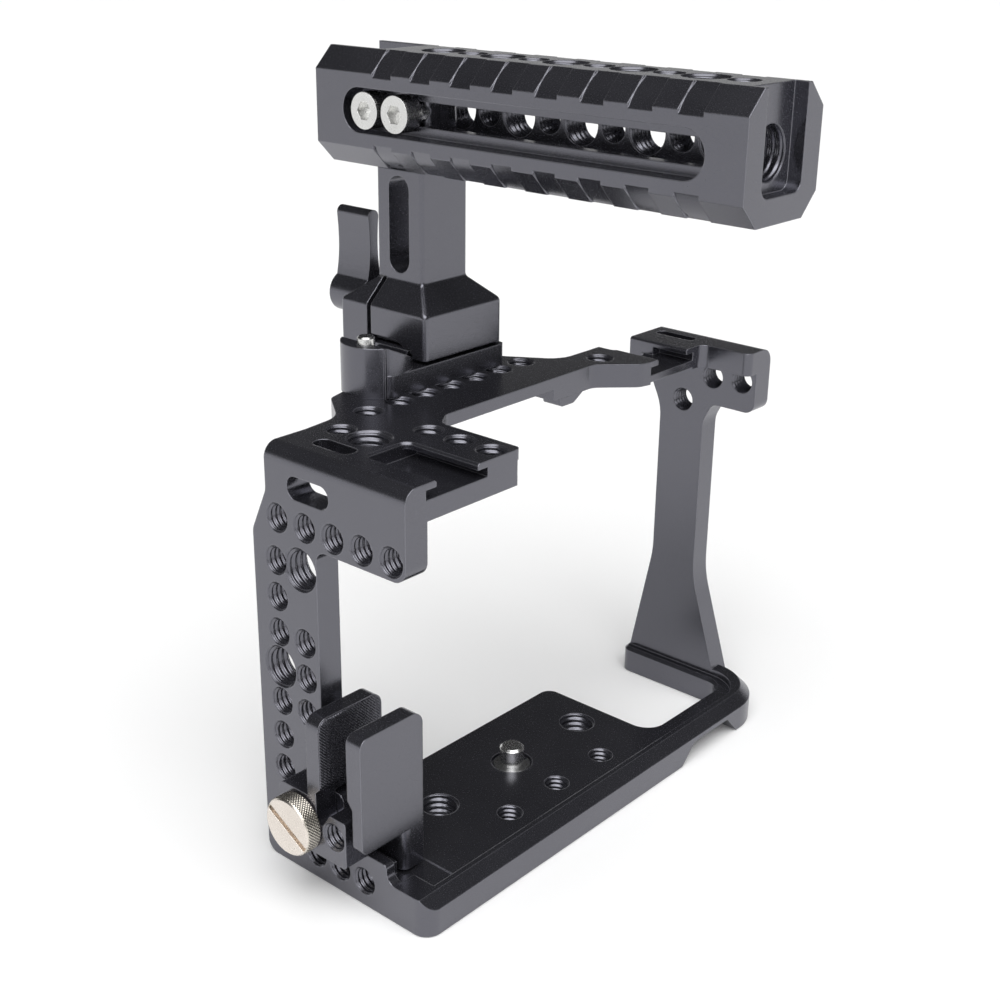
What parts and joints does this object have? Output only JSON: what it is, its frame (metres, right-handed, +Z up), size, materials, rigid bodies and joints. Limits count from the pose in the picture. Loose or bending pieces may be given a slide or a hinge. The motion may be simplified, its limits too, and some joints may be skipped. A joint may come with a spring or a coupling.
{
  "type": "camera cage",
  "caption": "Black aluminium camera cage with threaded walls, two accessory shoes, a sliding top handle on a quick-release clamp and a cable clamp.",
  "frame": {"origin": "mouth of the tripod thread in the underside, on the lens axis", "axes": "+Y towards the lens, +X to the right as seen from behind the camera, +Z up"},
  "size_m": [0.1512, 0.1267, 0.1817],
  "materials": {
    "black_anodised": "satin black anodised",
    "black_steel": "black oxide",
    "stainless": "bright stainless",
    "nickel": "nickel plated",
    "spring_steel": "plain"
  },
  "bodies": {
    "cage": {"cage_frame": "black_anodised", "dock_base": "black_anodised", "dock_screws": "black_steel", "stop_pin_spring": "spring_steel", "clamp_body": "black_anodised", "jaw_guide_pins": "spring_steel", "jaw_springs": "spring_steel", "handle_screws": "stainless", "cable_clamp_base": "black_anodised", "cable_guide_pins": "spring_steel"},
    "stop_pin_body": {"stop_pin": "stainless"},
    "jaw": {"clamp_jaw": "black_anodised"},
    "lever": {"lever_stud": "spring_steel", "lever_collar": "black_anodised", "clamp_lever": "black_anodised", "lever_cap_screw": "black_steel"},
    "handle": {"handle_bar": "black_anodised"},
    "cable_jaw_body": {"cable_jaw": "black_anodised"},
    "cable_screw": {"cable_jaw_screw": "black_steel"},
    "thumb": {"thumb_screw": "nickel"},
    "camera_fastener": {"camera_screw": "stainless", "camera_screw_clip": "spring_steel"}
  },
  "joints": [
    {"name": "stop_pin_press", "type": "slide", "parent": "cage", "child": "stop_pin_body", "axis": [0, 0, -1], "range_m": [0, 0.0018], "stiffness_N_per_m": 400, "springref_m": -0.002, "deforming": ["stop_pin_spring"]},
    {"name": "jaw_slide", "type": "slide", "parent": "cage", "child": "jaw", "axis": [0, 1, 0], "range_m": [0, 0.0025]},
    {"name": "lever_turn", "type": "hinge", "parent": "jaw", "child": "lever", "pos_m": [0.0051, 0.0675, 0.1199], "axis": [0, 1, 0], "range_deg": [0, 900]},
    {"name": "handle_slide", "type": "slide", "parent": "cage", "child": "handle", "axis": [0, 1, 0], "range_m": [-0.0024, 0.08]},
    {"name": "cable_jaw_slide", "type": "slide", "parent": "cage", "child": "cable_jaw_body", "axis": [0, 1, 0], "range_m": [-0.004, 0.0016]},
    {"name": "cable_screw_turn", "type": "hinge", "parent": "cage", "child": "cable_screw", "pos_m": [-0.0498, 0.0175, 0.0134], "axis": [0, 1, 0], "range_deg": [-1152, 2880]},
    {"name": "thumb_screw_turn", "type": "hinge", "parent": "cage", "child": "thumb", "pos_m": [-0.068, 0.0211, 0.0198], "axis": [-1, 0, 0], "continuous": true},
    {"name": "camera_screw_turn", "type": "hinge", "parent": "cage", "child": "camera_fastener", "pos_m": [0, 0.015, 0.003], "axis": [0, 0, 1], "continuous": true}
  ],
  "couplings": [
    {"joint": "lever_turn", "follows": "jaw_slide", "rad_per_m": 6283.2},
    {"joint": "cable_screw_turn", "follows": "cable_jaw_slide", "rad_per_m": -12566}
  ]
}
